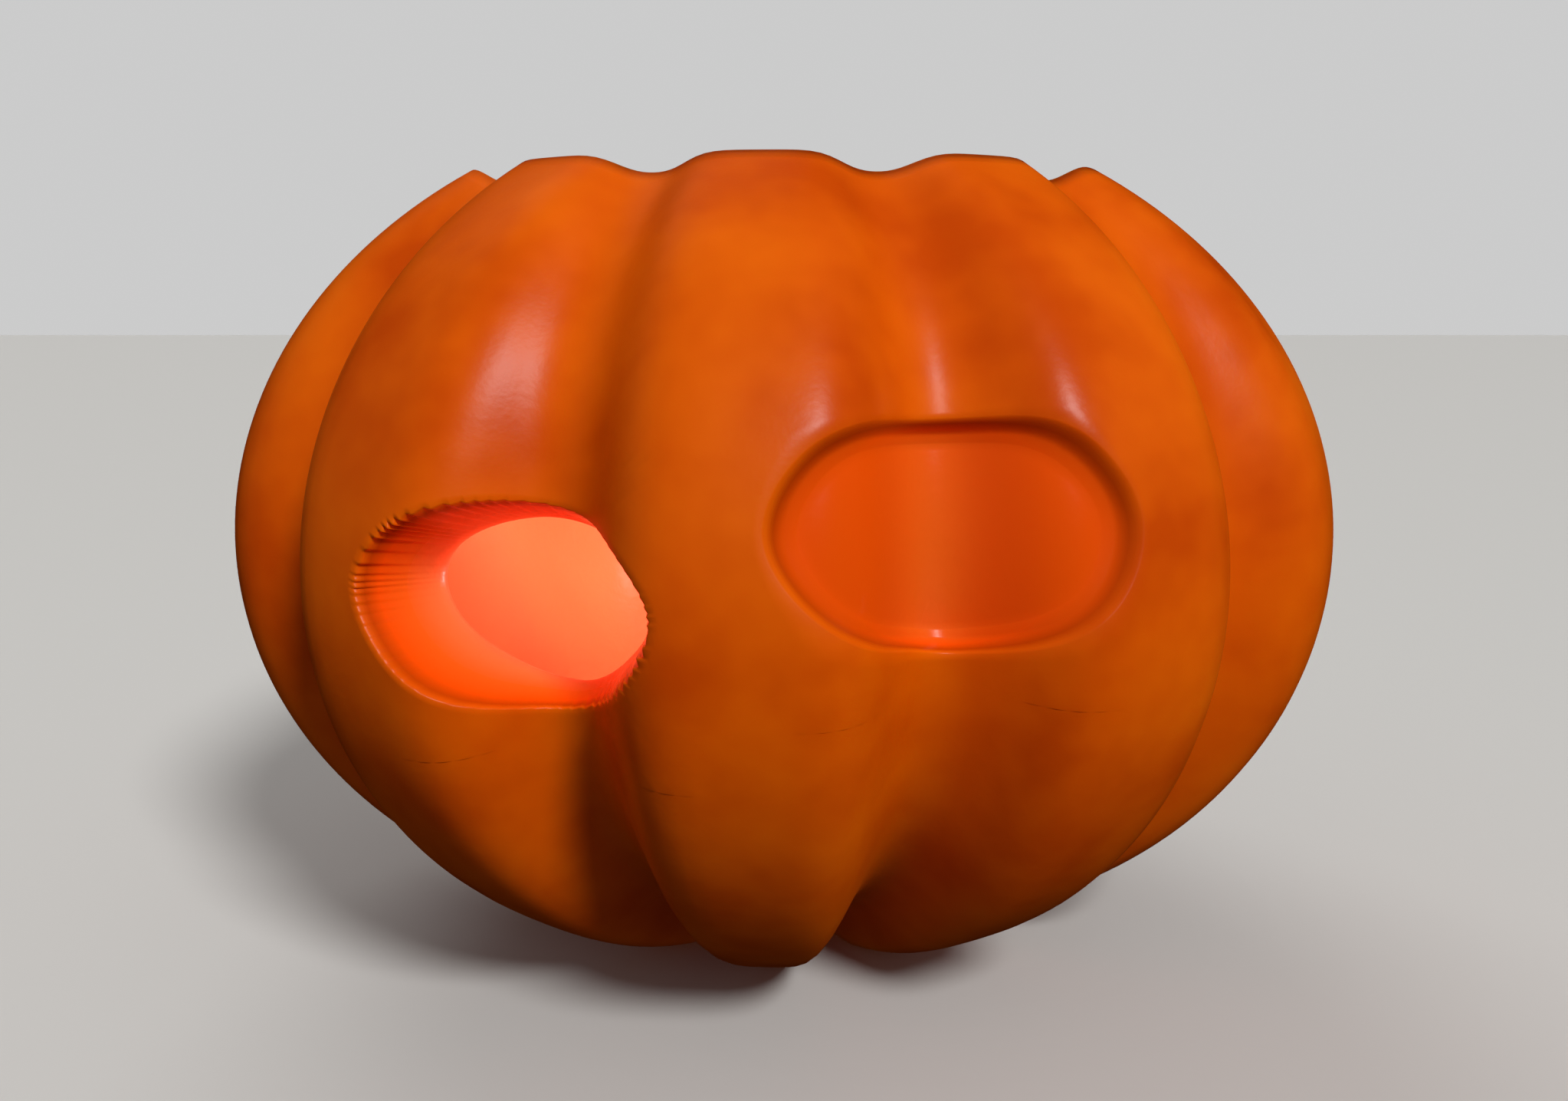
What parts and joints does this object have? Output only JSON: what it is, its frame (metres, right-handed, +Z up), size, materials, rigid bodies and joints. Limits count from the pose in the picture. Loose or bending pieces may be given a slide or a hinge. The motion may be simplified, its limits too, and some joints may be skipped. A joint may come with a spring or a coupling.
{
  "type": "carved pumpkin lantern",
  "caption": "Hollow ribbed pumpkin shell with its lid cut away, an oval eye cut through the wall and a shallow pared oval eye.",
  "frame": {"origin": "middle of the foot, on the surface that the pumpkin stands on", "axes": "+Z up through the lid's opening, -Y towards the carved face, +X to the viewer's right"},
  "size_m": [0.2952, 0.2996, 0.2098],
  "materials": {
    "skin": "waxy orange pumpkin skin over orange flesh"
  },
  "bodies": {
    "root": {"pumpkin_shell": "skin"}
  },
  "joints": []
}
